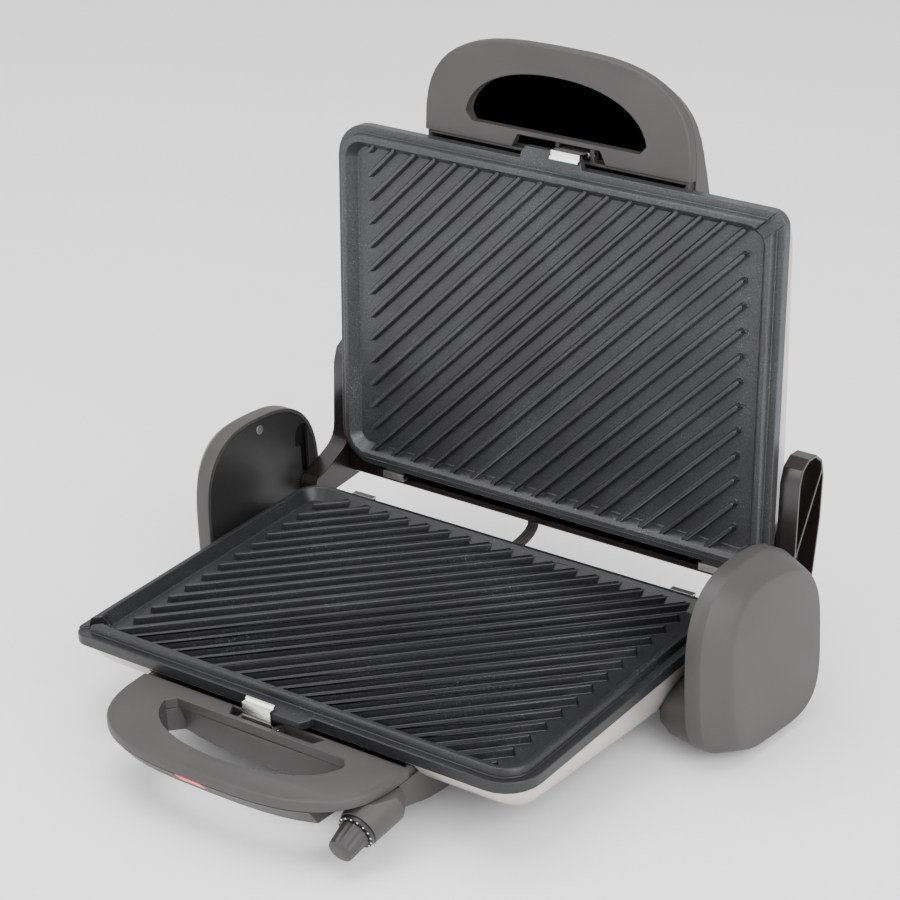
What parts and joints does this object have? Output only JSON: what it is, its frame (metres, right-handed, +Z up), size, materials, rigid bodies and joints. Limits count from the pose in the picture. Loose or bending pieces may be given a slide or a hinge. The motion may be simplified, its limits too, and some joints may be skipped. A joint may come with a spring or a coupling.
{
  "type": "panini press",
  "caption": "Contact grill standing open: ribbed lower plate in a shallow base, ribbed upper plate in a hinged lid that floats in side pods, loop handles, temperature knob.",
  "frame": {"origin": "middle of the bounding box's foot, on the table", "axes": "+Z up, -Y towards the user and the handles, +X to the user's right, where the temperature knob is"},
  "size_m": [0.4, 0.3774, 0.3659],
  "materials": {
    "housing_paint": "satin metallic paint on sheet steel",
    "handle_plastic": "fine matte grain",
    "black_plastic": "satin",
    "arm_plastic": "glossy, very dark brown",
    "plate_coating": "die-cast, dark speckled non-stick coating",
    "bright_steel": "bright plated strip",
    "steel": "plain",
    "reflector_metal": "bright pressed sheet",
    "lens_red": "clear red",
    "lamp_glass": "clear",
    "ceramic": "off-white moulding, stands in for ceramic",
    "braid": "dark woven sleeve",
    "rubber": "matte"
  },
  "bodies": {
    "base": {"base_housing": "housing_paint", "base_bottom_cover": "black_plastic", "base_cover_screw_1": "steel", "base_cover_screw_2": "steel", "base_cover_screw_3": "steel", "base_cover_screw_4": "steel", "base_handle_top_shell": "handle_plastic", "base_handle_lower_shell": "handle_plastic", "indicator_lens": "lens_red", "indicator_lamp": "lamp_glass", "dial_ring": "black_plastic", "thermostat_body": "steel", "lower_grill_plate": "plate_coating", "lower_heating_element": "steel", "lower_reflector": "reflector_metal", "lower_clip_pin": "steel", "lower_hook_left": "steel", "lower_hook_right": "steel", "terminal_block": "ceramic", "mains_inlet_bushing": "black_plastic", "heater_lead": "braid", "pod_neck_left": "handle_plastic", "pod_shell_left": "handle_plastic", "pod_inner_cover_left": "black_plastic", "pod_screw_left": "steel", "foot_front_left": "rubber", "foot_rear_left": "rubber", "pod_neck_right": "handle_plastic", "pod_shell_right": "handle_plastic", "pod_inner_cover_right": "black_plastic", "pod_screw_right": "steel", "foot_front_right": "rubber", "foot_rear_right": "rubber"},
    "hinge_carriage": {"hinge_pin_left": "steel", "hinge_pin_right": "steel", "hinge_slider_left": "black_plastic", "hinge_slider_right": "black_plastic"},
    "lid": {"lid_housing": "housing_paint", "lid_spine": "arm_plastic", "lid_handle_front_shell": "handle_plastic", "lid_handle_back_shell": "handle_plastic", "upper_grill_plate": "plate_coating", "upper_heating_element": "steel", "upper_reflector": "reflector_metal", "upper_clip_pin": "steel", "upper_hook_left": "steel", "upper_hook_right": "steel", "hinge_arm_left": "arm_plastic", "hinge_arm_right": "arm_plastic"},
    "thermostat_control": {"thermostat_knob": "handle_plastic", "thermostat_shaft": "steel"},
    "lower_release_clip": {"lower_clip": "bright_steel"},
    "upper_release_clip": {"upper_clip": "bright_steel"}
  },
  "joints": [
    {"name": "hinge_float", "type": "slide", "parent": "base", "child": "hinge_carriage", "axis": [0, -0.0534, 0.9986], "range_m": [0, 0.03]},
    {"name": "lid_swing", "type": "hinge", "parent": "hinge_carriage", "child": "lid", "pos_m": [0, 0.12028, 0.05641], "axis": [-1, 0, 0], "range_deg": [-93.06, 86.94], "deforming": ["heater_lead"]},
    {"name": "thermostat_turn", "type": "hinge", "parent": "base", "child": "thermostat_control", "pos_m": [0.081, -0.1593, 0.02244], "axis": [0, -0.9393, -0.343], "range_deg": [0, 270]},
    {"name": "lower_clip_swing", "type": "hinge", "parent": "base", "child": "lower_release_clip", "pos_m": [-0.011, -0.12736, 0.04117], "axis": [1, 0, 0], "range_deg": [0, 22], "stiffness_Nm_per_rad": 0.05},
    {"name": "upper_clip_swing", "type": "hinge", "parent": "lid", "child": "upper_release_clip", "pos_m": [0.011, 0.15208, 0.30451], "axis": [-1, 0, 0], "range_deg": [0, 22], "stiffness_Nm_per_rad": 0.05}
  ]
}
